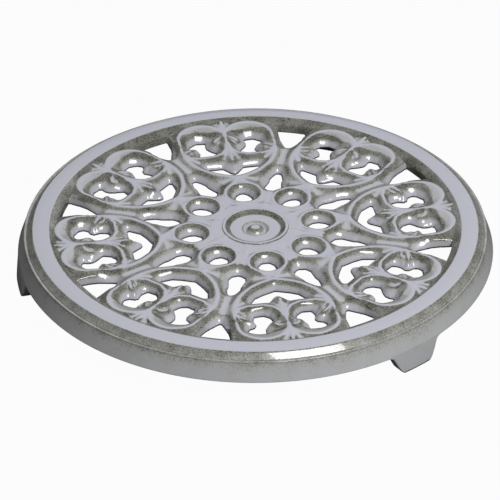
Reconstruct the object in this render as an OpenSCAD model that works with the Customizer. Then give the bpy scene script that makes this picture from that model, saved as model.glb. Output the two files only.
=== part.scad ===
// Round cast-iron trivet with an eightfold openwork of hearts and lilies.
// The origin is the middle of the disc on the table, +Z is up, and heart 1 points to -Y.
// The real trivet is one casting: each module here is one region of it, and regions meet face to face.

/* [Rim] */
// Diameter over the foot of the outer wall
outer_d = 230; // [200:1:260]
// Height of the flat band above the table
rim_top_z = 23; // [21:0.5:28]
// How far the wall's foot stands out past the thin bead round the shoulder
wall_flare = 3.3; // [2:0.1:5]
// Diameter of that bead's section
bead_t = 1.4; // [1:0.1:2.2]
// Width of the band with its inner and outer round edge, inside the bead
band_w = 14.8; // [12:0.2:18]
// Height that the shoulder falls from the flat band to the bead
shoulder_h = 3.4; // [1.5:0.1:4]
// Width of the slope from the flat band down to the openwork
inner_edge_w = 4; // [1:0.1:5]
// Height of that slope
inner_edge_h = 1.4; // [0.5:0.1:1.9]
// Height of the skirt's lower edge above the table
skirt_z = 10.5; // [8:0.5:13]
// Wall thickness of the skirt under the band
skirt_t = 5; // [4:0.2:7]

/* [Feet] */
// Number of feet
foot_count = 3; // [3:1:4]
// Width of a foot on the table
foot_w = 17; // [12:0.5:22]
// Width of a foot where it leaves the skirt
foot_top_w = 25; // [24:0.5:34]
// Thickness of a foot
foot_t = 6; // [5:0.5:12]
// Radius of the hollow corner on each side of a foot
foot_corner_r = 4; // [2:0.5:5]
// Height of the thin lip in which that corner ends at the skirt
foot_lip = 0.4; // [0.2:0.1:0.8]
// How far a foot stands out past the wall at the table
foot_flare = 1.2; // [0:0.1:2.5]
// Width and height of the slope round a foot's outer lower edge
sole_edge = 1.6; // [0.5:0.1:3]

/* [Openwork] */
// Number of hearts and eyes
repeats = 8; // [8:1:8]
// Height of the bars' ridges above the table
crest_z = 21.5; // [20:0.25:22]
// Height of the openwork's flat underside above the table
under_z = 16; // [14:0.25:17.5]
// Width of a bar at its foot
bar_w = 9.6; // [8:0.2:10.4]
// Width of the flat ridge along a bar
ridge_w = 1.6; // [0.8:0.1:2.4]
// Height of the webs that fill the space between bars and holes, over the underside
web_h = 3.4; // [2.6:0.1:4.2]
// Width of the low ridge between two hearts
ledge_w = 6.4; // [4:0.2:8]
// Height of that ridge over the underside
ledge_h = 4.7; // [2:0.1:5.2]

/* [Hearts] */
// Distance from an eye's ring to the point of the heart outside it
point_gap = 0.8; // [0.2:0.1:1.8]
// Distance from a heart's side to the border of its sector, at the heart's widest place
border_gap = 7.5; // [7:0.1:8]
// Distance from the widest place of a heart out to the centres of its lobes' lower bows
lobe_start = 2.8; // [1:0.2:4]
// Distance between the centres of a lobe's lower and upper bow
lobe_length = 5.7; // [4.5:0.1:7]
// Distance from the lobes' outermost ridge to the rim's inner face
lobe_inset = 0.2; // [0:0.1:1]
// Width of the bar round a lobe
lobe_w = 10.4; // [10:0.1:11]
// Height of the lobes' ridges over the other bars
lobe_rise = 0.6; // [0.2:0.1:1]
// Length by which the two arms of a heart cross at its point
arm_cross = 3; // [2:0.25:4]
// Radius of the rounded corners of the holes
hole_corner_r = 1.6; // [0.8:0.1:2]

/* [Lilies] */
// Distance from a heart's point to the start of the bud's ridge
bud_start = 15; // [13:0.5:17]
// Width of the bud
bud_w = 9; // [6:0.25:10]
// Distance from a heart's axis to the end of a lily's leaf
leaf_reach = 10.4; // [8:0.2:11]
// Width of a lily's leaf
leaf_w = 8.4; // [6:0.25:9]
// Distance from the lobes' upper centres in to the leaves
leaf_in = 1.7; // [0:0.1:3]
// Distance from a heart's axis to the end of a side bud
side_bud_reach = 14; // [12:0.2:15]
// Width of a side bud
side_bud_w = 6.6; // [5:0.2:8]
// Distance from the lobes' lower centres in to the side buds
side_bud_in = 1.6; // [0:0.1:3]
// Depth of the leaves and side buds below the bars' ridges
bud_drop = 0.8; // [0:0.1:1.5]

/* [Eyes] */
// Distance from the middle to the centre of an eye
eye_r = 31; // [30:0.1:32]
// Diameter of an eye's ridge
eye_ridge_d = 17.6; // [16:0.2:19]
// Diameter of an eye's hole at the underside
eye_hole_d = 8; // [7:0.2:12]
// Distance from an eye's centre in to the centre of that hole
eye_hole_in = 1.2; // [0:0.1:2]
// Distance from an eye's centre to the outer tip of its hole, at the underside
eye_hole_tip = 5; // [4:0.2:6]
// Distance that the tip of an eye's funnel keeps from the heart's point, at the ridge
eye_tip_inset = 2; // [1.5:0.1:3]
// Length by which the ring that holds an eye reaches over the border to the next eye
eye_ring_overlap = 2.3; // [1:0.1:2.6]
// Depth of the plate round the hub below the eyes' ridges
plate_drop = 0.4; // [0.2:0.1:0.8]

/* [Hub] */
// Diameter of the thin step line round the hub
step_d = 32; // [31:0.5:34]
// Height of that step
step_h = 0.4; // [0.2:0.1:0.8]
// Diameter of the dish in the hub
dish_d = 28.6; // [26:0.2:30]
// Depth of the dish
dish_h = 1.3; // [0.8:0.1:2]
// Diameter of the pit in the dish
pit_d = 12; // [10:0.2:14]
// Depth of the pit below the dish
pit_h = 1.4; // [0.6:0.1:2]
// Diameter of the centre button
button_d = 8.8; // [6:0.2:9.6]
// Height of the button over the floor of the pit
button_h = 2.2; // [1.2:0.1:2.8]

/* [Hidden] */
// Length by which cuts and clipped pieces overrun
over = 2;
// Height of one bar, from the underside to the ridge
bar_h = crest_z - under_z;
// Shares of a bar's half width and height at the breaks of its domed section
dome_x_shares = [1, 0.93, 0.68, 0.4];
dome_y_shares = [0, 0.42, 0.8, 0.95];
outer_r = outer_d / 2;
bead_r = outer_r - wall_flare;
// The openwork ends on this cylinder, which is the rim's inner face
open_r = bead_r - bead_t - band_w;
// Height of the bead's centre, where the shoulder ends and the outer wall starts
bead_z = rim_top_z - shoulder_h;
// Number of chords in a rounded edge or corner
arc_steps = 6;
// Width of the round tip of an eye's funnel
funnel_tip_d = 1.2;
// Height of the discs that a funnel is drawn between
funnel_lip = 0.2;
// Sides of the round ends that a funnel is drawn between
funnel_sides = 32;
// One heart's share of the circle
sector = 360 / repeats;

// A heart is drawn from the rim inwards, so that it follows the rim and keeps clear of its neighbours:
// its widest place w, its half width b and its lobes' bows b / 2 all depend on each other
border_slope = tan(sector / 2);
heart_wide_r = (open_r - lobe_inset - lobe_length - lobe_start + border_gap / 2) / (1 + border_slope / 2);
heart_half_w = heart_wide_r * border_slope - border_gap;
lobe_bow_r = heart_half_w / 2;
lobe_low_r = heart_wide_r + lobe_start;
lobe_top_r = lobe_low_r + lobe_length;
lobe_mid_r = (lobe_low_r + lobe_top_r) / 2;
// Eye rings grow with their circle, so that they always meet their neighbours
eye_ring_d = 2 * (eye_r * sin(sector / 2) + eye_ring_overlap);
// Distance from an eye's centre to the point of the heart outside it
tip_length = eye_ring_d / 2 + point_gap;
heart_point_r = eye_r + tip_length;
// The heart's side is one arc from the point to the widest place, upright there
side_rise = heart_wide_r - heart_point_r;
side_arc_r = (pow(heart_half_w, 2) + pow(side_rise, 2)) / (2 * heart_half_w);
side_arc_a = asin(side_rise / side_arc_r);

// Corners of the holes at the underside. Each is a share of the sizes of the bars that frame the hole.
// Hole in a lobe, between leaf, side bud and bar: shares of the bow's radius, from the heart's axis and
// the lobe's middle
lobe_hole_shares = [[0.86, 0.53], [1.32, 0.57], [1.63, 0.25], [1.63, -0.04], [1.46, -0.16], [1.23, -0.19],
                    [1.14, -0.41], [1.27, -0.65], [1.19, -0.94], [0.73, -0.95], [0.42, -0.62], [0.42, -0.39],
                    [0.78, -0.17], [0.92, 0.17]];
// Half of the hole round the bud's tip: shares of the heart's half width and of its rise from the point
bud_hole_shares = [[0, 0.145], [0.29, 0.24], [0.45, 0.32], [0.585, 0.5], [0.21, 0.5], [0.1, 0.35], [0, 0.31]];
// Half of the hole between two hearts' points, off and along the border: shares of the distance from the
// place where two eye rings meet to the hearts' points
border_hole_shares = [[0, -0.07], [0.3, 0.2], [0.42, 0.53], [0.28, 1.14], [0.31, 1.42], [0.09, 1.96],
                      [0, 2.02]];
// Half of the hole between two hearts and the rim, off and along the border: shares of the distance from the
// lobes' upper centres to the rim
rim_hole_shares = [[0, -0.43], [0.47, 0.21], [0.53, 0.42], [0.67, 0.88], [0.8, 1.3]];

$fn = 96;

// Half of the domed section of a bar of width w and height h, with its foot on the X axis
function half_dome(w, h, ridge) = concat(
    [for (i = [0 : len(dome_x_shares) - 1])
        [ridge / 2 + (w - ridge) / 2 * dome_x_shares[i], h * dome_y_shares[i]]],
    [[ridge / 2, h]]);

// Whole domed section, centred on x = 0
module dome(w, h, ridge) {
    right = half_dome(w, h, ridge);
    left = [for (i = [len(right) - 1 : -1 : 0]) [-right[i][0], right[i][1]]];
    polygon(concat(right, left));
}

// Bar along an arc round the origin, from angle a for the angle turn
module bow(r, a, turn, w = bar_w, h = bar_h) {
    rotate([0, 0, a]) rotate_extrude(angle = turn) translate([r, 0]) dome(w, h, ridge_w);
}

// Straight bar from y = 0 to y = l
module rod(l, w = bar_w, h = bar_h) {
    translate([0, l, 0]) rotate([90, 0, 0]) linear_extrude(height = l) dome(w, h, ridge_w);
}

// Round end for a bar, as the dome turned about its ridge
module knob(w = bar_w, h = bar_h) {
    rotate_extrude() polygon(concat([[0, 0]], half_dome(w, h, ridge_w), [[0, h]]));
}

// Turns what follows to heart or eye number i, whose axis then lies along the sector's middle
module at_sector(i) {
    rotate([0, 0, 180 + sector * (i - 1)]) children();
}

// Wedge that holds one sector, with its axis along +Y
module wedge() {
    half = sector / 2;
    reach = outer_r;
    translate([0, 0, under_z - over]) linear_extrude(height = bar_h + over + over)
        polygon([[0, 0], [-reach * sin(half), reach * cos(half)], [0, outer_r + over],
                 [reach * sin(half), reach * cos(half)]]);
}

// Solid cylinder that an eye's ring fills and a heart keeps clear of
module eye_seat() {
    translate([0, eye_r, under_z - over]) cylinder(d = eye_ring_d, h = bar_h + over + over);
}

module both_sides() {
    children();
    mirror([1, 0, 0]) children();
}

// A corner p rounded towards its neighbours a and b, as points of a curve that leaves each side smoothly
function corner(a, p, b) =
    let (back_a = min(hole_corner_r, norm(a - p) / 2), back_b = min(hole_corner_r, norm(b - p) / 2),
         start = p + (a - p) / norm(a - p) * back_a, end = p + (b - p) / norm(b - p) * back_b)
    [for (i = [0 : arc_steps]) let (t = i / arc_steps)
        pow(1 - t, 2) * start + 2 * t * (1 - t) * p + pow(t, 2) * end];

// Outline with every corner rounded
function rounded(points) = let (n = len(points))
    [for (i = [0 : n - 1]) each corner(points[(i + n - 1) % n], points[i], points[(i + 1) % n])];

// Half an outline, from axis to axis or clear of it, closed by its mirror image
function whole(half) = concat(half,
    [for (i = [len(half) - 1 : -1 : 0]) if (half[i][0] > 0) [-half[i][0], half[i][1]]]);

// Prism that cuts a hole through the openwork
module hole(points) {
    translate([0, 0, under_z - over]) linear_extrude(height = bar_h + over + over) polygon(rounded(points));
}

// The holes that lie across the border, half in each of two neighbouring sectors
module border_holes() {
    rim_gap = open_r - lobe_top_r;
    rings_meet_r = eye_r * cos(sector / 2) + sqrt(pow(eye_ring_d / 2, 2) - pow(eye_r * sin(sector / 2), 2));
    tip_gap = heart_point_r - rings_meet_r;
    both_sides() rotate([0, 0, -sector / 2]) {
        hole(whole([for (p = border_hole_shares) [tip_gap * p[0], rings_meet_r + tip_gap * p[1]]]));
        hole(whole([for (p = rim_hole_shares) [rim_gap * p[0], lobe_top_r + rim_gap * p[1]]]));
    }
}

// The holes inside one heart
module heart_holes() {
    both_sides() hole([for (p = lobe_hole_shares) [lobe_bow_r * p[0], lobe_mid_r + lobe_bow_r * p[1]]]);
    hole(whole([for (p = bud_hole_shares) [heart_half_w * p[0], heart_point_r + side_rise * p[1]]]));
}

// The two arms of a heart, which cross at its point and overrun into the wider and higher lobes
module heart_arms() {
    cross_a = asin(arm_cross / side_arc_r);
    both_sides() {
        translate([heart_half_w - side_arc_r, heart_wide_r, 0])
            bow(side_arc_r, -side_arc_a - cross_a, side_arc_a + cross_a);
        translate([heart_half_w, heart_wide_r, 0]) rod(lobe_low_r + over - heart_wide_r);
    }
}

// The ridges between the hearts, half in each of two neighbouring sectors
module border_ledge() {
    both_sides() rotate([0, 0, -sector / 2]) translate([0, heart_point_r, 0])
        rod(lobe_top_r - heart_point_r, ledge_w, ledge_h);
}

// The heart's two lobes: each is a long ring of two bows and two straights
module heart_lobes() {
    lobe_h = bar_h + lobe_rise;
    both_sides() {
        translate([lobe_bow_r, lobe_top_r, 0]) bow(lobe_bow_r, 0, 180, lobe_w, lobe_h);
        translate([lobe_bow_r, lobe_low_r, 0]) bow(lobe_bow_r, 180, 180, lobe_w, lobe_h);
        translate([heart_half_w, lobe_low_r, 0]) rod(lobe_length, lobe_w, lobe_h);
    }
    translate([0, lobe_low_r, 0]) rod(lobe_length, lobe_w, lobe_h);
}

// The lily: a bud below, a stem, and two hanging leaves at the cleft
module lily() {
    stem_foot = heart_point_r + bud_start;
    leaf_r = lobe_top_r - leaf_in;
    translate([0, stem_foot, 0]) {
        rod(lobe_low_r + over - stem_foot, bud_w);
        knob(bud_w);
    }
    both_sides() {
        translate([0, leaf_r, 0]) rotate([0, 0, -90]) rod(leaf_reach - leaf_w / 2, leaf_w, bar_h - bud_drop);
        translate([leaf_reach - leaf_w / 2, leaf_r, 0]) knob(leaf_w, bar_h - bud_drop);
    }
}

// Buds that stand into the lobes from the heart's sides
module side_buds() {
    start = side_bud_reach + side_bud_w / 2;
    both_sides() translate([start, lobe_low_r - side_bud_in, 0]) {
        rotate([0, 0, -90]) rod(heart_half_w - start, side_bud_w, bar_h - bud_drop);
        knob(side_bud_w, bar_h - bud_drop);
    }
}

module heart(i) {
    color("#b1b2b8") at_sector(i) difference() {
        intersection() {
            translate([0, 0, under_z]) {
                heart_arms();
                heart_lobes();
                lily();
                side_buds();
                border_ledge();
                cylinder(r = outer_r, h = web_h);
            }
            wedge();
            translate([0, 0, under_z - over]) cylinder(r = open_r, h = bar_h + over + over);
        }
        translate([0, 0, under_z - over]) cylinder(r = eye_r, h = bar_h + over + over);
        eye_seat();
        heart_holes();
        border_holes();
    }
}

// Funnel of an eye: a drop, round at the hub's side and pointed towards the heart, that narrows downwards
module eye_funnel() {
    run = over / bar_h;
    widen = (eye_ridge_d - eye_hole_d) * run;
    tip_run = (tip_length - eye_tip_inset - eye_hole_tip) * run;
    hull() {
        translate([0, -eye_hole_in * (1 + run), -over])
            cylinder(d = eye_hole_d - widen, h = funnel_lip, $fn = funnel_sides);
        translate([0, eye_hole_in * run, bar_h + over - funnel_lip])
            cylinder(d = eye_ridge_d + widen, h = funnel_lip, $fn = funnel_sides);
        translate([0, eye_hole_tip - tip_run, -over])
            cylinder(d = funnel_tip_d, h = funnel_lip, $fn = funnel_sides);
        translate([0, tip_length - eye_tip_inset + tip_run, bar_h + over - funnel_lip])
            cylinder(d = funnel_tip_d, h = funnel_lip, $fn = funnel_sides);
    }
}

// Domed ring round an eye, still without its funnel
module eye_ring() {
    ring_w = (eye_ring_d - eye_ridge_d) / 2;
    translate([0, eye_r, 0]) rotate_extrude() polygon(concat(
        [[0, 0]],
        [for (i = [0 : len(dome_x_shares) - 1])
            [eye_ridge_d / 2 + ring_w * dome_x_shares[i], bar_h * dome_y_shares[i]]],
        [[eye_ridge_d / 2 + ridge_w / 2, bar_h], [0, bar_h]]));
}

// The two ridges that run from a heart's point round the eye
module eye_tip() {
    ridge_r = (eye_ridge_d + ridge_w) / 2;
    both_sides() translate([0, heart_point_r, 0]) rotate([0, 0, 180 + asin(ridge_r / tip_length)])
        rod(sqrt(pow(tip_length, 2) - pow(ridge_r, 2)));
}

module eye(i) {
    color("#b4b5bb") at_sector(i) difference() {
        intersection() {
            translate([0, 0, under_z]) {
                eye_ring();
                eye_tip();
                cylinder(r = eye_r, h = bar_h - plate_drop);
                cylinder(r = heart_point_r, h = web_h);
            }
            eye_seat();
            wedge();
        }
        translate([0, eye_r, under_z]) eye_funnel();
        border_holes();
    }
}

// Disc in the middle, with the web that runs out between the eyes
module hub() {
    top = bar_h - plate_drop;
    color("#b6b7bd") translate([0, 0, under_z]) difference() {
        rotate_extrude() polygon([
            [0, 0], [eye_r, 0], [eye_r, top], [step_d / 2, top], [step_d / 2, top + step_h],
            [dish_d / 2, top + step_h], [dish_d / 2 - dish_h, bar_h - dish_h],
            [pit_d / 2, bar_h - dish_h], [pit_d / 2 - pit_h / 2, bar_h - dish_h - pit_h],
            [0, bar_h - dish_h - pit_h]]);
        for (i = [1 : repeats]) at_sector(i) translate([0, 0, -under_z]) eye_seat();
    }
}

module centre_button() {
    floor_z = crest_z - dish_h - pit_h;
    r = button_d / 2;
    ball_r = (pow(r, 2) + pow(button_h / 2, 2)) / button_h;
    color("#a9aab0") translate([0, 0, floor_z]) rotate_extrude() intersection() {
        square([r, button_h]);
        translate([0, button_h - ball_r]) circle(r = ball_r);
    }
}

// Points along an arc round the point c, from angle a to angle b; r is a radius, or one across and one up
function arc(c, r, a, b) = let (across = is_list(r) ? r[0] : r, up = is_list(r) ? r[1] : r)
    [for (i = [0 : arc_steps]) let (t = a + (b - a) * i / arc_steps) c + [across * cos(t), up * sin(t)]];

// Rim: flat band, shoulder, bead, flared wall and skirt, turned in one section
module rim() {
    color("#b2b3b9") rotate_extrude() polygon(concat(
        [[open_r, under_z]],
        arc([open_r + inner_edge_w, rim_top_z - inner_edge_h], [inner_edge_w, inner_edge_h], 180, 90),
        arc([bead_r - bead_t - shoulder_h, bead_z], shoulder_h, 90, 0),
        arc([bead_r - bead_t / 2, bead_z], bead_t / 2, 180, 0),
        [[outer_r, skirt_z], [outer_r - skirt_t, skirt_z], [outer_r - skirt_t, under_z]]));
}

// Foot: an apron under the skirt that narrows to the table between two hollow corners
module foot(i) {
    corner_z = skirt_z - foot_lip - foot_corner_r;
    shoulder = foot_top_w / 2 + foot_corner_r;
    right = concat([[foot_w / 2, 0]], arc([shoulder, corner_z], foot_corner_r, 180, 90),
                   [[shoulder, skirt_z + over]]);
    left = [for (j = [len(right) - 1 : -1 : 0]) [-right[j][0], right[j][1]]];
    color("#8d8c86") rotate([0, 0, 180 + 360 / foot_count * (i - 1)]) intersection() {
        rotate([0, 0, -sector / 2]) rotate_extrude(angle = sector) polygon([
            [outer_r - foot_t, 0], [outer_r + foot_flare - sole_edge, 0], [outer_r + foot_flare, sole_edge],
            [outer_r, skirt_z], [outer_r - foot_t, skirt_z]]);
        rotate([90, 0, 90]) linear_extrude(height = outer_d) polygon(concat(right, left));
    }
}

rim();
for (i = [1 : foot_count]) foot(i);
hub();
centre_button();
for (i = [1 : repeats]) {
    eye(i);
    heart(i);
}
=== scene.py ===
# %% [markdown]
# # An enamelled cast-iron trivet
# A cast trivet is one piece of iron: a flat rim on a short flared skirt, three feet, and an openwork disc
# of eight hearts round eight eyes and a hub. It is dipped in enamel and fired, so every edge is round and
# every corner is filled a little. The lesson goes in this order: camera, openwork, enamel, hub, rim with
# feet, light. All sizes are in millimetres until the last step of each mesh, and come from the frame where
# it has them.

# %% Load the fixed frame
import math

import bmesh
import bpy
import numpy as np
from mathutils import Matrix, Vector


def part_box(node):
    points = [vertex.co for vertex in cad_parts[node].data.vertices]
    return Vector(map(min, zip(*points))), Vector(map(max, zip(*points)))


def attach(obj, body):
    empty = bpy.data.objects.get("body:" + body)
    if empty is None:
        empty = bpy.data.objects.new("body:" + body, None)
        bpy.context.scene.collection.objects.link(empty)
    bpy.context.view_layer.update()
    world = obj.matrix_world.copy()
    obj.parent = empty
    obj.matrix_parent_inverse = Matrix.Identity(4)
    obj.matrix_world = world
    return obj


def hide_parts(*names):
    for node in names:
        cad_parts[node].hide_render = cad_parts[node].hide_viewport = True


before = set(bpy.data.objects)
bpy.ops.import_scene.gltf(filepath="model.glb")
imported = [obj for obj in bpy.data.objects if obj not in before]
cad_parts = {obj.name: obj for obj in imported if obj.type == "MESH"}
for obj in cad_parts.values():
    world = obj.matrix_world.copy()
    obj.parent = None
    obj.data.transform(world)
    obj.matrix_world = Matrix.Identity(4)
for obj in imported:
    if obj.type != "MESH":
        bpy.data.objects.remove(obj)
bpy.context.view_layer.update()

MM = 0.001
REPEATS = 8
SECTOR = math.tau / REPEATS
HEARTS = [f"heart_{i + 1}" for i in range(REPEATS)]
EYES = [f"eye_{i + 1}" for i in range(REPEATS)]
FEET = [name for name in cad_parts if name.startswith("foot")]


def corners(node):
    """The two corners of a node's box, in millimetres."""
    low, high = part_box(node)
    return np.array(low) / MM, np.array(high) / MM


rim_low, rim_high = corners("rim")
hub_low, hub_high = corners("hub")
button_high = corners("centre_button")[1]
outer_r = rim_high[0]
rim_top = rim_high[2]
skirt_z = rim_low[2]
under_z = hub_low[2]
hub_top = hub_high[2]
print("rim radius", round(outer_r, 2), "top", round(rim_top, 2), "underside of the openwork",
      round(under_z, 2))

# %% [markdown]
# ## The camera
# The camera stands about 1.6 m away and looks down at 33 degrees, with a long lens, so the circles stay
# nearly true ellipses. It could be moved by hand until the rim fits, but a fit of its angles, distance and
# lens to the rim's circles and the eight eyes is surer. The pattern is turned a little against it: no heart
# points straight at the viewer. A small shift of the lens puts the disc where it stands in the picture.

# %% Camera
crest_z = hub_top - 0.4
camera_away = 1601.0
camera_up = math.radians(33.07)
camera_side = math.radians(-100.41)
roll = math.radians(-0.25)
picture_px = 500
focal_px = 3317.18
middle_px_x = 255.37
middle_px_y = 226.12

camera_data = bpy.data.cameras.new("camera")
camera_data.sensor_width = 36
camera_data.lens = focal_px * camera_data.sensor_width / picture_px
camera_data.shift_x = (picture_px / 2 - middle_px_x) / picture_px
camera_data.shift_y = (middle_px_y - picture_px / 2) / picture_px
camera_data.clip_end = 20
camera = bpy.data.objects.new("camera", camera_data)
bpy.context.scene.collection.objects.link(camera)
aim = Vector((0, 0, crest_z * MM))


def direction(side, up):
    """Unit vector at the angle side round the trivet and the angle up above the table."""
    return Vector((math.cos(up) * math.cos(side), math.cos(up) * math.sin(side), math.sin(up)))


towards = direction(camera_side, camera_up)
camera.location = aim + towards * camera_away * MM
camera.rotation_euler = (-towards).to_track_quat("-Z", "Y").to_euler()
camera.rotation_euler.rotate_axis("Z", roll)
bpy.context.scene.camera = camera
print("camera at", [round(v, 3) for v in camera.location])

# %% [markdown]
# ## The openwork
# In the foundry's pattern the vines are carved: each has a thin ridge along its crest, falls gently from
# it, and rounds over into a steep wall at the edge of a hole. Where vines meet, the enamel fills the
# corner. Bars pushed through each other would show hard seams, so the disc is written the way it was
# carved: first where the ridges run, then the outlines of the holes, and between the two a section that
# always fits, however wide the bar is. One sector holds a heart, a lily and an eye, and it is even about
# its middle line. On the plan of a sector, y runs out from the hub along that line and x goes across it, so
# only x > 0 has to be drawn.

# %% Distances on the plan
HEART_POINT_R = 46.0
HEART_HALF_W = 23.6
HEART_WIDE_R = 75.0
LOBE_TOP_R = 83.5
LOBE_LOW_R = 77.8
LOBE_BOW_R = HEART_HALF_W / 2
EYE_R = 31.0
EYE_RIDGE_R = 9.0
OPEN_R = 95.5


def to_segment(x, y, a, b):
    """Plan distance to a straight ridge from a to b."""
    ux, uy = b[0] - a[0], b[1] - a[1]
    t = np.clip(((x - a[0]) * ux + (y - a[1]) * uy) / (ux * ux + uy * uy), 0, 1)
    return np.hypot(x - a[0] - t * ux, y - a[1] - t * uy)


def to_path(x, y, *points):
    """Plan distance to a ridge that runs through points."""
    return np.min([to_segment(x, y, a, b) for a, b in zip(points, points[1:])], axis=0)


def to_ring(x, y, centre, r):
    """Plan distance to a round ridge."""
    return np.abs(np.hypot(x - centre[0], y - centre[1]) - r)


def to_outline(x, y, corner_r, points):
    """Plan distance to the outline with these corners, rounded by corner_r, and less than zero inside it."""
    nearest = to_path(x, y, *points, points[0])
    inside = np.zeros(x.shape, bool)
    for (ax, ay), (bx, by) in zip(points, points[1:] + points[:1]):
        if ay != by:
            inside ^= ((ay > y) != (by > y)) & (x < (bx - ax) * (y - ay) / (by - ay) + ax)
    return np.where(inside, -nearest, nearest) - corner_r


def smooth_min(a, b, k):
    """The lesser of two distances, with a fillet of about k where they cross."""
    h = np.clip(0.5 + 0.5 * (b - a) / k, 0, 1)
    return b + (a - b) * h - k * h * (1 - h)


def smooth_max(a, b, k):
    """The greater of two heights, with a fillet of about k where they cross."""
    return -smooth_min(-a, -b, k)


def mirrored(points):
    """A half outline and its mirror image about x = 0, as one outline."""
    return points + [(-x, y) for x, y in reversed(points) if x > 0]


half_sector = SECTOR / 2


def across_border(x, y):
    """For x > 0: distance from the border line to the next sector, and distance along it."""
    return (np.abs(x * math.cos(half_sector) - y * math.sin(half_sector)),
            x * math.sin(half_sector) + y * math.cos(half_sector))


print("a heart is", 2 * HEART_HALF_W, "wide, its point", HEART_POINT_R, "and its lobes",
      LOBE_TOP_R + LOBE_BOW_R, "from the middle")

# %% [markdown]
# Each ridge is a line on the plan with three numbers: how deep it lies below the crest, how wide its
# rounded top is, and how fast the metal falls beside it. A heart is an arm that bows out from its point,
# and a lobe that turns in on a half circle and climbs towards the rim. The lily's stem runs up its middle,
# and a vine swings from the stem down and out to the side bud, so each lobe is nearly a ring. A low ledge
# follows the border between two hearts, a web runs out from the hub between two eyes, and the eye is a ring
# with two tips to the heart's point. A few ridges dip where they run out, because a casting has no sharp
# ends.

# %% The ridges, each with its depth below the crest
bar_h = crest_z - under_z
CROSS_VINE = [(0.8, 77.0), (1.6, 72.5), (4.2, 68.6), (8.5, 66.6), (16, 66.2), (20.6, 67.6), (22.6, 71.0)]
STEM_FOOT_R = 56.5
LEDGE_FROM_R, LEDGE_TO_R = 54.5, 79.5
WEB_FROM_R, WEB_TO_R = 17, 37.6
HUB_PLATE_R = 20.3
FAR_AWAY = 99
side_rise = HEART_WIDE_R - HEART_POINT_R
arm_r = (HEART_HALF_W ** 2 + side_rise ** 2) / (2 * HEART_HALF_W)
arm_centre = (HEART_HALF_W - arm_r, HEART_WIDE_R)
tip_a = math.acos(EYE_RIDGE_R / (HEART_POINT_R - EYE_R))
tip_touch = (EYE_RIDGE_R * math.sin(tip_a), EYE_R + EYE_RIDGE_R * math.cos(tip_a))


print("the arm's radius is", round(arm_r, 2), "and the metal under a crest", round(bar_h, 2), "thick")


def downhill(along, start, end, low):
    """Extra depth of a ridge that runs out from start and is low deep at end."""
    return low * np.clip((along - start) / (end - start), 0, 1.2) ** 2


def ridges(x, y):
    """For x > 0: plan distance to every ridge, its depth, the width of its rounded top, and its fall."""
    off, along = across_border(x, y)
    r = np.hypot(x, y)
    rise = -1.0 * np.clip((r - 76) / 18, 0, 1)  # less than zero, as the crests climb 1 mm towards the rim
    past = y > HEART_WIDE_R
    arm = np.where(past, to_segment(x, y, (HEART_HALF_W, HEART_WIDE_R), (HEART_HALF_W, LOBE_TOP_R)),
                   to_ring(x, y, arm_centre, arm_r))
    from_bow = np.hypot(x - LOBE_BOW_R, y - np.clip(y, LOBE_LOW_R, LOBE_TOP_R)) - LOBE_BOW_R
    lobe = np.where(y > LOBE_LOW_R, np.abs(from_bow), FAR_AWAY)
    lobe_fall = np.where(from_bow > 0, 0.8, 0.3 + 0.65 * np.clip((89 - y) / 6, 0, 1))
    cross = to_path(x, y, *CROSS_VINE)
    stem = to_segment(x, y, (0, STEM_FOOT_R), (0, OPEN_R + 4))
    ledge = np.hypot(off, along - np.clip(along, LEDGE_FROM_R, LEDGE_TO_R))
    web = np.hypot(off, along - np.clip(along, WEB_FROM_R, WEB_TO_R))
    ring = to_ring(x, y, (0, EYE_R), EYE_RIDGE_R)
    tip = to_segment(x, y, tip_touch, (0, HEART_POINT_R))
    plate = np.maximum(r - HUB_PLATE_R, 0)
    stem_dip = downhill(y, 63, STEM_FOOT_R, 5.0)
    ledge_dip = downhill(along, 60, LEDGE_FROM_R, 4.4) + downhill(along, 75, LEDGE_TO_R, 4.4)
    web_dip = downhill(along, 32, WEB_TO_R, 5.0)
    return [(arm, rise, 1.3, 0.5 + 0.4 * np.clip((y - 68) / 5, 0, 1)),
            (lobe, rise, 1.3, lobe_fall),
            (cross, 0, 1.1, 0.55),
            (stem, rise + stem_dip, 1.0, 0.7 - 0.25 * np.clip((y - 86) / 5, 0, 1)),
            (ledge, 1.3 + ledge_dip, 0.3, 1.0),
            (web, 0.15 + web_dip, 2.2, 0.8),
            (ring, 0, 0.8, 0.5),
            (tip, 0, 0.8, 0.5),
            (plate, 0.12, 1.5, 0.5)]


# %% [markdown]
# The lily's leaves and buds stand on the vines like drops: their backs bow down on all sides, the smallest
# ones the most. Round buds sit where vines meet. Leaves follow a short path and lie deeper towards their
# tips.

# %% Leaves and buds
LEAF = [(1.0, 84.6), (4.6, 83.2), (6.6, 80.6), (6.9, 79.6)]
TOP_LEAF = [(1.5, 86.6), (5.0, 87.4), (8.6, 87.0)]
LOW_LEAF = [(0.8, 80.4), (2.8, 78.6), (4.6, 75.8)]
SIDE_TOP_LEAF = [(22.0, 72.6), (19.2, 75.0), (16.2, 77.4)]
SIDE_LOW_LEAF = [(21.6, 69.6), (19.0, 71.2), (16.2, 73.4)]
SIDE_BUD_X = 22


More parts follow.
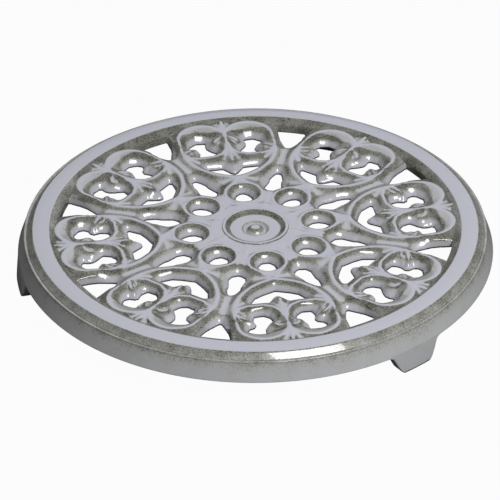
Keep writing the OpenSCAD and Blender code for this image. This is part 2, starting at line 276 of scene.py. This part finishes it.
def buds(x, y):
    """For x > 0: plan distance to the back of every leaf and bud, its depth, and how tightly it is bowed."""
    side_depth = 0.1 + 0.16 * (SIDE_BUD_X - x)
    return [(np.hypot(x, y - 84.8), -0.55, 4.5),
            (np.hypot(x - 21.8, y - 69.6), 0.0, 4.5),
            (np.hypot(x, y - 66.4), 0.05, 5.0),
            (np.hypot(x, y - 42.6), 0.1, 7.0),
            (to_path(x, y, *LEAF), -0.5 + 0.2 * x, 3.0),
            (to_path(x, y, *TOP_LEAF), -0.3 + 0.17 * x, 1.5),
            (to_path(x, y, *LOW_LEAF), 0.25 * x, 1.5),
            (to_path(x, y, *SIDE_TOP_LEAF), side_depth, 1.9),
            (to_path(x, y, *SIDE_LOW_LEAF), side_depth, 1.7)]


print("the lily's leaf is", round(math.dist(LEAF[0], LEAF[-1]), 1), "long and a side leaf",
      round(math.dist(SIDE_TOP_LEAF[0], SIDE_TOP_LEAF[-1]), 1))

# %% [markdown]
# The daylight between the vines has five shapes: one in each lobe, one below the lily, one between two
# eyes, one between two hearts at the rim, and the eye's own hole. They are drawn as outlines with rounded
# corners at the underside, because that is where each hole is narrowest and its edge shows against the
# table.

# %% The holes, as outlines at the underside
LOBE_HOLE = [(11.2, 84.9), (14.2, 85.1), (16.8, 83.0), (17.2, 81.6), (16.4, 80.4), (14.0, 79.6), (12.3, 77.0),
             (13.3, 73.4), (12.6, 70.9), (9.6, 70.7), (7.6, 72.4), (6.8, 74.8), (9.6, 77.6), (11.4, 80.2),
             (11.7, 83.2)]
BUD_HOLE = [(0, 51.2), (5.8, 53.4), (9.6, 55.4), (12.6, 59.7), (5.7, 59.7), (2.6, 55.5), (1.0, 54.3)]
BORDER_HOLE = [(0.3, 38.4), (2.3, 39.6), (3.0, 41.8), (2.5, 44.0), (1.8, 47.6), (2.0, 49.6), (1.2, 52.6),
               (0.3, 54.5)]
RIM_HOLE = [(0.1, 79.4), (4.5, 85.6), (5.6, 88.0), (7.4, 94.0), (8.4, OPEN_R + 6)]
EYE_HOLE = [(1.0, 27.8), (2.2, 29.4), (2.4, 31.6), (1.5, 33.8), (0.2, 35.0)]


def to_hole(x, y):
    """Plan distance to the nearest hole, for x > 0."""
    off, along = across_border(x, y)
    return np.min([
        to_outline(x, y, 1.2, LOBE_HOLE), to_outline(x, y, 0.9, mirrored(BUD_HOLE)),
        to_outline(off, along, 1.0, mirrored(BORDER_HOLE)), to_outline(off, along, 0.8, mirrored(RIM_HOLE)),
        to_outline(x, y, 1.6, mirrored(EYE_HOLE))], axis=0)


print("corners of the hole in a lobe:", len(LOBE_HOLE), "and of the one below the lily:",
      len(mirrored(BUD_HOLE)))

# %% [markdown]
# The section joins the two drawings. The top at a place is the highest of the slopes that come down from
# all ridges and buds, blended, because enamel fills the corners between them. From the lip on, the way that
# is left to the hole bends the skin over into the hole's wall: it is flat at the lip, steep at the hole,
# and ends on the flat underside with a small round edge. At the rim the lip is narrow, so the walls there
# are upright.

# %% The section between ridge and hole
DEEPEST = 3.2
LIP = 4.5
SHARP_LIP = 1.0
LEAST_LIP = 0.8
CORNER_FILL = 0.9
LEAST_TOP = 0.6
SKIN_SCALE = 3.2
INNER_R = 13.6


def openwork(x, y, z):
    """Less than zero inside one sector of the openwork, in about millimetres; z counts from the underside."""
    x = np.abs(x)
    top, near = None, None
    for d, depth, soft, fall in ridges(x, y):
        run = np.sqrt(d * d + soft ** 2) - soft
        height = bar_h - depth - DEEPEST * (1 - np.exp(-fall * run / DEEPEST))
        top = height if top is None else smooth_max(top, height, CORNER_FILL)
        run = run + 2 * np.maximum(depth - 0.9, 0)
        near = run if near is None else smooth_min(near, run, 0.6)
    for d, depth, bow in buds(x, y):
        top = smooth_max(top, bar_h - depth - d * d / (2 * bow), 0.3)
    top = np.maximum(top, LEAST_TOP)
    near = np.maximum(near, 0)
    hole = to_hole(x, y)
    off, along = across_border(x, y)
    sharp = np.clip((along - 82) / 4, 0, 1) * np.clip((12 - off) / 3, 0, 1)
    lip = np.clip(near + hole, LEAST_LIP, LIP - (LIP - SHARP_LIP) * sharp)
    share = np.clip(1 - hole / lip, 0, 2)
    skin = SKIN_SCALE * (z * np.abs(z) / top ** 2 + share ** 2.1 - 1)
    skin = smooth_max(skin, -z, 0.7)
    r = np.hypot(x, y)
    skin = smooth_max(skin, r - OPEN_R - 3.0, 0.1)
    return smooth_max(skin, INNER_R - r, 0.1)


print("slopes end", DEEPEST, "below their ridge, and a lip is", SHARP_LIP, "to", LIP, "wide")

# %% [markdown]
# A surface net turns the distances into a mesh: each grid cell that the skin crosses gets one vertex, each
# grid edge that it crosses gets one quad. The vertices are then pulled onto the skin along its slope, so
# the grid leaves no steps.

# %% Surface net
def surface_net(field, low, high, step):
    """Vertices and quads where the field is zero, on a grid that is even about x = 0."""
    xs = np.arange(low[0] - step / 2, high[0] + step, step)
    ys = np.arange(low[1], high[1] + step, step)
    zs = np.arange(low[2], high[2] + step, step)
    grid = np.stack(np.meshgrid(xs, ys, zs, indexing="ij"), -1)
    inside = field(grid[..., 0], grid[..., 1], grid[..., 2]) < 0
    nx, ny, nz = (n - 1 for n in inside.shape)
    count = sum(inside[i:nx + i, j:ny + j, k:nz + k].astype(int)
                for i in (0, 1) for j in (0, 1) for k in (0, 1))
    crossed = (count > 0) & (count < 8)
    number = np.full(crossed.shape, -1)
    number[crossed] = np.arange(crossed.sum())
    points = grid[:nx, :ny, :nz][crossed] + step / 2
    quads = []
    for axis, (b, c) in enumerate(((1, 2), (2, 0), (0, 1))):
        first = np.moveaxis(inside, axis, 0)
        change = np.argwhere(np.moveaxis(first[1:] != first[:-1], 0, axis))
        change = change[(change[:, b] > 0) & (change[:, c] > 0)
                        & (change[:, b] < crossed.shape[b]) & (change[:, c] < crossed.shape[c])]
        back_b, back_c = np.eye(3, dtype=int)[b], np.eye(3, dtype=int)[c]
        ring = [change, change - back_b, change - back_b - back_c, change - back_c]
        quad = np.stack([number[tuple(cell.T)] for cell in ring], 1)
        solid_first = inside[tuple(change.T)]
        quad[~solid_first] = quad[~solid_first][:, ::-1]
        quads.append(quad)
    return points, np.concatenate(quads)


def slope(field, p):
    """Gradient of the field at points p."""
    tiny = 0.02
    steps = np.eye(3) * tiny
    return np.stack([(field(*(p + d).T) - field(*(p - d).T)) / (2 * tiny) for d in steps], 1)


def pull_to_skin(field, points, passes=4, longest=0.3):
    """The points moved down the field's slope until they lie on the skin, by longest at most in each pass."""
    for _ in range(passes):
        g = slope(field, points)
        move = -field(*points.T)[:, None] * g / np.maximum((g * g).sum(1, keepdims=True), 0.05)
        size = np.linalg.norm(move, axis=1, keepdims=True)
        points = points + move * np.minimum(1, longest / np.maximum(size, 1e-9))
    return points


# %% [markdown]
# The net is laid over one sector only. Its step is 0.6 mm, about half the width of a ridge's rounded top: a
# finer one would show no more in the picture, and a coarser one would blunt the leaves. It runs a little past
# the sector, so it is cut on both border planes, where the neighbours meet it.

# %% One sector
GRID_STEP = 0.6
side_reach = math.ceil((OPEN_R * math.sin(half_sector) + 3) / GRID_STEP) * GRID_STEP
points, quads = surface_net(openwork, (-side_reach, 11.0, -1.0), (side_reach, OPEN_R + 3, bar_h + 2.5),
                            GRID_STEP)
points = pull_to_skin(openwork, points)
sector_mesh = bpy.data.meshes.new("openwork_sector")
sector_mesh.from_pydata(((points + (0, 0, under_z)) * MM).tolist(), [], quads.tolist())

cut = bmesh.new()
cut.from_mesh(sector_mesh)
for side in (-1, 1):
    outward = (side * math.cos(half_sector), -math.sin(half_sector), 0)
    bmesh.ops.bisect_plane(cut, geom=cut.verts[:] + cut.edges[:] + cut.faces[:], plane_co=(0, 0, 0),
                           plane_no=outward, clear_outer=True, dist=1e-7)
cut.to_mesh(sector_mesh)
cut.free()
print("sector of the openwork:", len(sector_mesh.vertices), "points,", len(sector_mesh.polygons), "faces")

# %% [markdown]
# Geometry Nodes turn the sector into the whole disc: eight points, one copy of the sector turned on each,
# made real and welded along the borders. The net is as fine on the flat underside as on the ridges, so a
# Decimate modifier then takes out half of its triangles, first where the surface is flat. That keeps the
# grille below 200,000 triangles.

# %% Node helper
def add_node(tree, kind, settings=None, links=None, values=None):
    """One node with its settings, its unlinked values and its incoming links."""
    new = tree.nodes.new(kind)
    for key, value in (settings or {}).items():
        setattr(new, key, value)
    for key, value in (values or {}).items():
        new.inputs[key].default_value = value
    for key, source in (links or {}).items():
        tree.links.new(source, new.inputs[key])
    return new


# %% Repeat round the hub
WELD_MM = 0.002


def repeat_tree():
    """Geometry nodes that turn copies of a sector round the Z axis and weld them into one closed skin."""
    tree = bpy.data.node_groups.new("repeat round the hub", "GeometryNodeTree")
    tree.interface.new_socket("Geometry", in_out="INPUT", socket_type="NodeSocketGeometry")
    tree.interface.new_socket("Copies", in_out="INPUT", socket_type="NodeSocketInt")
    tree.interface.new_socket("Material", in_out="INPUT", socket_type="NodeSocketMaterial")
    tree.interface.new_socket("Geometry", in_out="OUTPUT", socket_type="NodeSocketGeometry")
    given = add_node(tree, "NodeGroupInput")
    places = add_node(tree, "GeometryNodePoints", links={"Count": given.outputs["Copies"]})
    index = add_node(tree, "GeometryNodeInputIndex")
    step = add_node(tree, "ShaderNodeMath", {"operation": "DIVIDE"}, {1: given.outputs["Copies"]},
                    {0: math.tau})
    turn = add_node(tree, "ShaderNodeMath", {"operation": "MULTIPLY"},
                    {0: index.outputs[0], 1: step.outputs[0]})
    angles = add_node(tree, "ShaderNodeCombineXYZ", links={"Z": turn.outputs[0]})
    copies = add_node(tree, "GeometryNodeInstanceOnPoints", links={
        "Points": places.outputs[0], "Instance": given.outputs["Geometry"], "Rotation": angles.outputs[0]})
    real = add_node(tree, "GeometryNodeRealizeInstances", links={"Geometry": copies.outputs[0]})
    weld = add_node(tree, "GeometryNodeMergeByDistance", links={"Geometry": real.outputs[0]},
                    values={"Distance": WELD_MM * MM})
    smooth = add_node(tree, "GeometryNodeSetShadeSmooth", links={"Geometry": weld.outputs[0]})
    finish = add_node(tree, "GeometryNodeSetMaterial", links={
        "Geometry": smooth.outputs[0], "Material": given.outputs["Material"]})
    add_node(tree, "NodeGroupOutput", links={"Geometry": finish.outputs[0]})
    return tree


def socket_id(tree, name):
    """The identifier of a tree's input, by which a modifier knows it."""
    return next(s.identifier for s in tree.interface.items_tree
                if s.item_type == "SOCKET" and s.in_out == "INPUT" and s.name == name)


def plain_copy(obj, name):
    """The evaluated object as a plain mesh in a new object, with the modifiers gone."""
    mesh = bpy.data.meshes.new_from_object(obj.evaluated_get(bpy.context.evaluated_depsgraph_get()))
    plain = bpy.data.objects.new(name, mesh)
    bpy.context.scene.collection.objects.link(plain)
    bpy.data.objects.remove(obj)
    return plain


KEPT_FACES = 0.5


def repeat_round_hub(mesh, name, material):
    """One piece from eight turned copies of a sector's mesh, thinned, with nothing live left on it."""
    seed = bpy.data.objects.new(name + "_seed", mesh)
    bpy.context.scene.collection.objects.link(seed)
    tree = repeat_tree()
    modifier = seed.modifiers.new("repeat", "NODES")
    modifier.node_group = tree
    modifier[socket_id(tree, "Copies")] = REPEATS
    modifier[socket_id(tree, "Material")] = material
    thinner = seed.modifiers.new("thinner", "DECIMATE")
    thinner.ratio = KEPT_FACES
    piece = plain_copy(seed, name)
    print(name, len(piece.data.vertices), "points,", sum(len(p.vertices) - 2 for p in piece.data.polygons),
          "triangles")
    return piece


# %% [markdown]
# ## The enamel
# The finish is vitreous enamel: ground glass and clay, dipped or sprayed in coats and fired at about 800
# degrees. It runs like honey before it sets. It stays thick, pale and lavender-grey on level places and
# crests, and it is thin on flanks, where the dark ground coat shows through as fine olive-brown specks.
# Towards the foot of slopes it grows paler; in the openwork and hub that is partly glaze pooled there and
# partly painted light from below. Along the lower edges a dark line of painted shade is drawn. So one
# number says how thick the glaze is, with this painted light and shade folded into it, and a ramp of four
# colours turns it to what the eye sees. It is glossy everywhere: IOR 1.5 as glass, a little rough below,
# with a clear coat.

# %% Colours
def linear(code):
    """sRGB hex to linear RGBA."""
    parts = [int(code[i:i + 2], 16) / 255 for i in (1, 3, 5)]
    return [c / 12.92 if c <= 0.04045 else ((c + 0.055) / 1.055) ** 2.4 for c in parts] + [1]


THICK_GLAZE = linear("#C3C4CE")
MIDDLE_GLAZE = linear("#B6B7B3")
THIN_GLAZE = linear("#77766D")
# The darkest colour: the ground coat, which mixes into the colour of thin flanks, and the line of painted
# shade along the lower edges.
GROUND_COAT_AND_EDGE_SHADE = linear("#26241E")
print("thick glaze, linear:", [round(v, 3) for v in THICK_GLAZE[:3]])


def mapped(tree, source, low, high, to_low=0.0, to_high=1.0):
    """A smooth step from to_low to to_high while source goes from low to high."""
    spread = {"From Min": low, "From Max": high, "To Min": to_low, "To Max": to_high}
    return add_node(tree, "ShaderNodeMapRange", {"interpolation_type": "SMOOTHSTEP"}, {"Value": source},
                    spread).outputs["Result"]


# %% Enamel
# Enamel flows together in swells of about 8 mm. Real specks are 0.2 to 0.4 mm, too fine to show in the
# render, so they are drawn as coarse as 0.8 mm. Along a lower edge the glaze's share falls by 1.6, past all
# that it can have, so only the darkest colour is left there: a line of painted shade.
SWELL_MM = 25 / 3
SPECK_MM = 10 / 13
EDGE_SHADE_DROP = 1.6


def enamel(name, palest_z, paling_from_z, palest_share, edge_z, inner_r, crest_at):
    """Vitreous enamel over cast iron, thick on level places, and paler from paling_from_z down to palest_z.

    The paler part holds up to palest_share of the full glaze and lies outside inner_r. A level place counts
    only from crest_at upward. Below edge_z a line of painted shade takes the colour down to the darkest one,
    but not on the underside. All lengths are in millimetres.
    """
    material = bpy.data.materials.new(name)
    material.use_nodes = True
    tree = material.node_tree
    tree.nodes.clear()
    place = add_node(tree, "ShaderNodeTexCoord")
    facing = add_node(tree, "ShaderNodeSeparateXYZ", links={0: place.outputs["Normal"]})
    height = add_node(tree, "ShaderNodeSeparateXYZ", links={0: place.outputs["Object"]})
    level = mapped(tree, facing.outputs["Z"], 0.935, 0.999)
    high = mapped(tree, height.outputs["Z"], (crest_at - 0.8) * MM, crest_at * MM)
    crest = add_node(tree, "ShaderNodeMath", {"operation": "MULTIPLY"}, {0: level, 1: high})
    plan = add_node(tree, "ShaderNodeCombineXYZ", links={0: height.outputs["X"], 1: height.outputs["Y"]})
    away = add_node(tree, "ShaderNodeVectorMath", {"operation": "LENGTH"}, {0: plan.outputs[0]})
    outside = mapped(tree, away.outputs["Value"], inner_r * MM, (inner_r + 6) * MM)
    # Paler towards the bottom, outside inner_r. In the openwork and hub this is partly glaze pooled at the
    # foot of slopes and partly painted light from below.
    low_down = mapped(tree, height.outputs["Z"], paling_from_z * MM, palest_z * MM, to_high=palest_share)
    paler_low = add_node(tree, "ShaderNodeMath", {"operation": "MULTIPLY"}, {0: outside, 1: low_down})
    cloud = add_node(tree, "ShaderNodeTexNoise", links={"Vector": place.outputs["Object"]},
                     values={"Scale": 1 / (SWELL_MM * MM), "Detail": 3, "Roughness": 0.6})
    speck = add_node(tree, "ShaderNodeTexNoise", links={"Vector": place.outputs["Object"]},
                     values={"Scale": 1 / (SPECK_MM * MM), "Detail": 2, "Roughness": 0.7})
    thick = add_node(tree, "ShaderNodeMath", {"operation": "MAXIMUM"},
                     {0: crest.outputs[0], 1: paler_low.outputs[0]})
    # Painted shade: below edge_z, where the surface does not face down, the share falls past all the glaze
    # there is, which leaves a dark line of painted shade along the lower edges.
    above = mapped(tree, height.outputs["Z"], (edge_z - 0.3) * MM, (edge_z + 0.9) * MM)
    below = mapped(tree, facing.outputs["Z"], -0.5, -0.9)
    edge = add_node(tree, "ShaderNodeMath", {"operation": "MAXIMUM"}, {0: above, 1: below})
    shade_lifted = add_node(tree, "ShaderNodeMath", {"operation": "MULTIPLY_ADD"},
                    {0: edge.outputs[0], 2: thick.outputs[0]}, {1: EDGE_SHADE_DROP})
    edge_shaded = add_node(tree, "ShaderNodeMath", {"operation": "SUBTRACT"}, {0: shade_lifted.outputs[0]}, {1: EDGE_SHADE_DROP})
    soft = add_node(tree, "ShaderNodeMath", {"operation": "MULTIPLY_ADD"},
                    {0: cloud.outputs["Fac"], 2: edge_shaded.outputs[0]}, {1: 0.5})
    dots = mapped(tree, speck.outputs["Fac"], 0.36, 0.56)
    share = add_node(tree, "ShaderNodeMath", {"operation": "MULTIPLY_ADD"},
                     {0: dots, 2: soft.outputs[0]}, {1: 0.2})
    ramp = add_node(tree, "ShaderNodeValToRGB", links={"Fac": mapped(tree, share.outputs[0], 0.02, 1.38)})
    ramp.color_ramp.elements[0].color = GROUND_COAT_AND_EDGE_SHADE
    ramp.color_ramp.elements[1].color = THICK_GLAZE
    for spot, colour in ((0.16, THIN_GLAZE), (0.5, MIDDLE_GLAZE)):
        ramp.color_ramp.elements.new(spot).color = colour
    bump = add_node(tree, "ShaderNodeBump", links={"Height": speck.outputs["Fac"]},
                    values={"Strength": 0.05, "Distance": 0.2 * MM})
    shader = add_node(tree, "ShaderNodeBsdfPrincipled", links={
        "Base Color": ramp.outputs["Color"], "Normal": bump.outputs["Normal"]},
        values={"Roughness": 0.22, "IOR": 1.5, "Coat Weight": 0.6, "Coat Roughness": 0.04})
    add_node(tree, "ShaderNodeOutputMaterial", links={"Surface": shader.outputs[0]})
    return material


# The openwork and hub grow paler all over towards the underside: partly pooled glaze, partly painted light
# from below. The rim grows paler mainly on its outer wall, lower down. All three get the line of painted
# shade at their lower edges.
PALER_LOW_ALL_OVER = -9.0
PALER_LOW_ON_WALL = 99.0
PALEST_UP, PALING_FROM_UP, EDGE_UP = 1.6, 4.4, 0.5
openwork_enamel = enamel("enamel_on_openwork", under_z + PALEST_UP, under_z + PALING_FROM_UP, 0.9,
                         under_z + EDGE_UP, PALER_LOW_ALL_OVER, crest_z - 0.9)
hub_enamel = enamel("enamel_on_hub", under_z + PALEST_UP, under_z + PALING_FROM_UP, 0.9,
                    under_z + EDGE_UP, PALER_LOW_ALL_OVER, 0.0)
rim_enamel = enamel("enamel_speckled_on_wall", 12.0, 26.0, 0.5, 0.6, PALER_LOW_ON_WALL, rim_top - 0.05)
print("materials:", openwork_enamel.name, hub_enamel.name, rim_enamel.name)

# %% [markdown]
# The grille takes the place of the sixteen solids of the hearts and eyes. It is one piece, because the
# casting is, and because the glaze has to run across the borders without a seam.

# %% The openwork as one piece
grille = repeat_round_hub(sector_mesh, "openwork", openwork_enamel)
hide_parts(*HEARTS, *EYES)

# %% [markdown]
# ## Turned pieces
# The hub and its button are turned shapes: a dish with a pit in it, and a low dome in the pit. A modeller
# could stack cylinders and bevel them. Here half a section is written once, with a radius at each corner,
# and spun round the axis, so every size can be read in one list. The same rounding later draws the section
# of the rim.

# %% Round the corners of a section
def rounded(corner_list, steps=5, closed=False):
    """Points along a section with rounded corners (r, z, radius); a corner always gives steps + 1 points."""
    count = len(corner_list)
    out = []
    for i, (x, y, radius) in enumerate(corner_list):
        p = np.array((x, y))
        if not closed and i in (0, count - 1):
            out.append(p)
            continue
        before = np.array(corner_list[i - 1][:2]) - p
        after = np.array(corner_list[(i + 1) % count][:2]) - p
        lb, la = np.linalg.norm(before), np.linalg.norm(after)
        before, after = before / lb, after / la
        half = math.acos(max(-1, min(1, float(before @ after)))) / 2
        back = min(radius / math.tan(half), lb * 0.49, la * 0.49)
        for t in np.linspace(0, 1, steps + 1):
            a, b = p + before * back, p + after * back
            out.append((1 - t) ** 2 * a + 2 * t * (1 - t) * p + t ** 2 * b)
    return np.array(out)


def turned(section, name, columns=160):
    """A closed solid of revolution; the section runs from the axis at the top to the axis at the bottom."""
    ring = section[1:-1]
    angle = np.arange(columns) * math.tau / columns
    verts = [(0, 0, section[0][1])]
    for r, z in ring:
        verts += [(r * c, r * s, z) for c, s in zip(np.cos(angle), np.sin(angle))]
    verts.append((0, 0, section[-1][1]))
    last = len(verts) - 1
    faces = []
    for k in range(columns):
        n = (k + 1) % columns
        faces.append((0, 1 + k, 1 + n))
        for row in range(len(ring) - 1):
            a, b = 1 + row * columns, 1 + (row + 1) * columns
            faces.append((a + k, b + k, b + n, a + n))
        a = 1 + (len(ring) - 1) * columns
        faces.append((a + k, last, a + n))
    mesh = bpy.data.meshes.new(name)
    mesh.from_pydata((np.array(verts) * MM).tolist(), [], faces)
    mesh.shade_smooth()
    mesh.materials.append(hub_enamel)
    piece = bpy.data.objects.new(name, mesh)
    bpy.context.scene.collection.objects.link(piece)
    print(name, len(verts), "points")
    return piece


# %% Hub and button
STEP_R = 16.0
dish_z = crest_z - 1.3
pit_z = dish_z - 1.4
hub_disc = turned(rounded([
    (0, pit_z, 0), (4.9, pit_z, 0.9), (6.6, dish_z, 0.9), (12.1, dish_z, 2.4), (14.6, hub_top, 1.2),
    (STEP_R, hub_top, 0.35), (STEP_R + 0.3, crest_z - 0.5, 0.1), (STEP_R, under_z, 0.4),
    (0, under_z, 0)]), "hub_disc")
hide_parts("hub")

button_r = button_high[0]
button = turned(rounded([
    (0, button_high[2], 0), (button_r * 0.55, button_high[2] - 0.15, 3.0), (button_r, pit_z + 0.7, 1.2),
    (button_r, pit_z - 0.3, 0.1), (0, pit_z - 0.3, 0)]), "button")
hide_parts("centre_button")

# %% [markdown]
# ## Rim, skirt and feet
# The rim is a flat band with a bevelled shoulder, a thin bead, a wall that flares out to the skirt, and
# three feet. Feet set against a turned rim would leave a seam, but the real wall runs down into them. So
# the section is drawn again at every angle: the height of its lower edge follows the outline of a foot, and
# it is a little thicker behind the foot.

# %% Outline of a foot
FOOT_HALF_W = 8.5
FOOT_TOP_HALF_W = 12.5
FOOT_CORNER_R = 4.0
FOOT_FLARE = 1.2
BESIDE_FOOT = FOOT_TOP_HALF_W + FOOT_CORNER_R


def foot_place(name):
    """The angle at which a foot stands."""
    low, high = corners(name)
    return math.atan2(low[1] + high[1], low[0] + high[0])


foot_places = sorted(foot_place(name) for name in FEET)
print("feet at", [round(math.degrees(f), 1) for f in foot_places], "degrees")


def edge_height(s):
    """Height of the wall's lower edge at the arc length s from a foot's middle."""
    corner_z = skirt_z - FOOT_CORNER_R
    side = corner_z * (s - FOOT_HALF_W) / (FOOT_TOP_HALF_W - FOOT_HALF_W)
    reach = np.clip(BESIDE_FOOT - s, 0, FOOT_CORNER_R)
    bow = corner_z + np.sqrt(FOOT_CORNER_R ** 2 - reach ** 2)
    return np.where(s < FOOT_HALF_W, 0, np.where(s < FOOT_TOP_HALF_W, side, bow))


def near_foot(angle):
    """Arc length from the nearest foot's middle."""
    turns = [np.abs((angle - f + math.pi) % math.tau - math.pi) for f in foot_places]
    return np.min(turns, axis=0) * outer_r


# %% [markdown]
# The section starts on the openwork's side, goes up to the band and over the shoulder to a fine groove,
# follows the bead and the wall down, and comes back up inside the skirt. The shoulder is a flat bevel with
# soft edges: it holds the long highlight that the eye sees first.

# %% Section of the rim at one angle
BEAD_R = 111.7
SHOULDER_R = 110.2
BEAD_BELOW_TOP = 3.4
bead_z = rim_top - BEAD_BELOW_TOP


def wall_r(z):
    """Radius of the flared outer wall at height z."""
    if z < skirt_z:
        return outer_r + FOOT_FLARE * (1 - z / skirt_z)
    return outer_r - (outer_r - BEAD_R) * (z - skirt_z) / (bead_z - skirt_z)


def rim_section(edge_z, thick):
    """The rim's closed section where its lower edge is at edge_z and its skirt has this thickness."""
    inside = outer_r - thick
    return rounded([
        (OPEN_R, under_z, 0.7), (OPEN_R, rim_top - 2.2, 1.4), (OPEN_R + 4.0, rim_top, 3.0),
        (SHOULDER_R - 6.0, rim_top, 4.0), (SHOULDER_R - 2.6, rim_top - 0.25, 1.6),
        (SHOULDER_R + 0.1, bead_z + 0.5, 0.4), (SHOULDER_R + 0.1, bead_z - 0.15, 0.25),
        (SHOULDER_R + 0.35, bead_z + 0.5, 0.4), (BEAD_R + 0.05, bead_z + 0.5, 0.55),
        (BEAD_R + 0.1, bead_z - 0.5, 0.4), (wall_r(skirt_z + 1.0), skirt_z + 1, 0.5),
        (wall_r(edge_z), edge_z, 1.1), (inside, edge_z, 1.0), (inside, under_z, 1.2)], closed=True)


print("bead at height", round(bead_z, 2), "and wall radius at the table", round(wall_r(0), 2))

# %% [markdown]
# The section stands every 1.2 mm round the rim, and every 0.3 mm at the feet, where the outline turns within
# a few millimetres. It always has the same number of points, so each column joins the next one point by
# point, and the skin closes on itself with no seam and no pole.

# %% Loft the rim
COLUMNS = 600
FOOT_COLUMN_MM = 0.3
FOOT_REACH = 19
SKIRT_T = 5.0
BEHIND_FOOT_T = 6.0
SOFTEN_MM = 1.2

angles = np.arange(0, math.tau, math.tau / COLUMNS)
for f in foot_places:
    angles = np.append(angles, f + np.arange(-FOOT_REACH, FOOT_REACH, FOOT_COLUMN_MM) / outer_r)
angles = np.unique(np.round(angles % math.tau, 5))
distance = near_foot(angles)
# A mean over a short stretch of wall rounds the foot's corners, as the mould and the glaze do.
around = np.linspace(-SOFTEN_MM, SOFTEN_MM, 9)
edges = np.mean([edge_height(np.abs(distance + t)) for t in around], axis=0)
behind = np.mean([np.where(np.abs(distance + 2 * t) < FOOT_TOP_HALF_W, BEHIND_FOOT_T, SKIRT_T)
                  for t in around], axis=0)
loops = np.array([rim_section(e, t) for e, t in zip(edges, behind)])
cols, rows = loops.shape[:2]
rim_points = np.stack([loops[..., 0] * np.cos(angles)[:, None], loops[..., 0] * np.sin(angles)[:, None],
                       loops[..., 1]], -1).reshape(-1, 3)
k, row = np.meshgrid(np.arange(cols), np.arange(rows), indexing="ij")
n, up = (k + 1) % cols, (row + 1) % rows
rim_faces = np.stack([k * rows + row, k * rows + up, n * rows + up, n * rows + row], -1).reshape(-1, 4)
rim_mesh = bpy.data.meshes.new("rim_and_feet")
rim_mesh.from_pydata((rim_points * MM).tolist(), [], rim_faces.tolist())
rim_mesh.shade_smooth()
rim_mesh.materials.append(rim_enamel)
rim_piece = bpy.data.objects.new("rim_and_feet", rim_mesh)
bpy.context.scene.collection.objects.link(rim_piece)
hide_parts("rim", *FEET)
print("rim and feet", len(rim_points), "points")

for piece in (grille, hub_disc, button, rim_piece):
    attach(piece, "root")

# %% [markdown]
# ## Floor and light
# The trivet stands on a plain pale floor. A white card would throw so much light up that the openwork's
# slopes lose their dark side, so the floor is white only where the camera sees it and grey to the light, and
# a little of the shadow still shows on it.

# %% Floor
def pale_floor():
    """White card to the camera, and grey card to the light that comes back from it."""
    material = bpy.data.materials.new("matt_white_card")
    material.use_nodes = True
    tree = material.node_tree
    tree.nodes.clear()
    path = add_node(tree, "ShaderNodeLightPath")
    seen = add_node(tree, "ShaderNodeMath", {"operation": "MAXIMUM"},
                    {0: path.outputs["Is Camera Ray"], 1: path.outputs["Is Transmission Ray"]})
    card = add_node(tree, "ShaderNodeBsdfDiffuse", values={"Color": linear("#6E6E6E")})
    glow = add_node(tree, "ShaderNodeEmission", values={"Color": (1, 1, 1, 1), "Strength": 1})
    mix = add_node(tree, "ShaderNodeMixShader", links={
        0: mapped(tree, seen.outputs[0], 0, 1, 0, 0.97), 1: card.outputs[0], 2: glow.outputs[0]})
    add_node(tree, "ShaderNodeOutputMaterial", links={"Surface": mix.outputs[0]})
    return material


FLOOR_HALF_M = 4.0
floor_mesh = bpy.data.meshes.new("floor")
floor_corners = ((-1, -1), (1, -1), (1, 1), (-1, 1))
floor_mesh.from_pydata([(x * FLOOR_HALF_M, y * FLOOR_HALF_M, 0) for x, y in floor_corners], [],
                       [(0, 1, 2, 3)])
floor_mesh.materials.append(pale_floor())
floor = bpy.data.objects.new("floor", floor_mesh)
bpy.context.scene.collection.objects.link(floor)
print("floor", 2 * FLOOR_HALF_M, "m wide")


# %% [markdown]
# Two lamps are enough for a glossy casting. A softbox to the right of the camera and above it gives the form
# and the long highlight on the shoulder. A broad panel behind the trivet is what its level places reflect.
# The world is white to the camera, and adds only a little light of its own.

# %% Lamps
def panel(name, turn, up, away, width, height, watts, tint="#FFFFFF"):
    """Area lamp aimed at the trivet, by the angles turn (right of the camera) and up (above the table)."""
    data = bpy.data.lights.new(name, "AREA")
    data.shape = "RECTANGLE"
    data.size, data.size_y = width, height
    data.energy = watts
    data.color = linear(tint)[:3]
    lamp = bpy.data.objects.new(name, data)
    way = direction(camera_side + math.radians(turn), math.radians(up))
    lamp.location = aim + way * away
    lamp.rotation_euler = (-way).to_track_quat("-Z", "Y").to_euler()
    bpy.context.scene.collection.objects.link(lamp)
    print(name, watts, "W from", away, "m away")


panel("softbox", 30, 50, 1.6, 0.72, 0.6, 21)
panel("back_panel", 180, 38, 2.0, 2.2, 1.2, 7, "#F4F6FF")

world = bpy.data.worlds.new("dark_studio")
bpy.context.scene.world = world
world.use_nodes = True
sky = world.node_tree
sky.nodes.clear()
path = add_node(sky, "ShaderNodeLightPath")
dim = add_node(sky, "ShaderNodeBackground", values={"Color": linear("#FFFFFF"), "Strength": 0.08})
white = add_node(sky, "ShaderNodeBackground", values={"Color": (1, 1, 1, 1), "Strength": 1})
both = add_node(sky, "ShaderNodeMixShader", links={
    0: path.outputs["Is Camera Ray"], 1: dim.outputs[0], 2: white.outputs[0]})
add_node(sky, "ShaderNodeOutputWorld", links={"Surface": both.outputs[0]})
bpy.context.scene.view_settings.view_transform = "Standard"
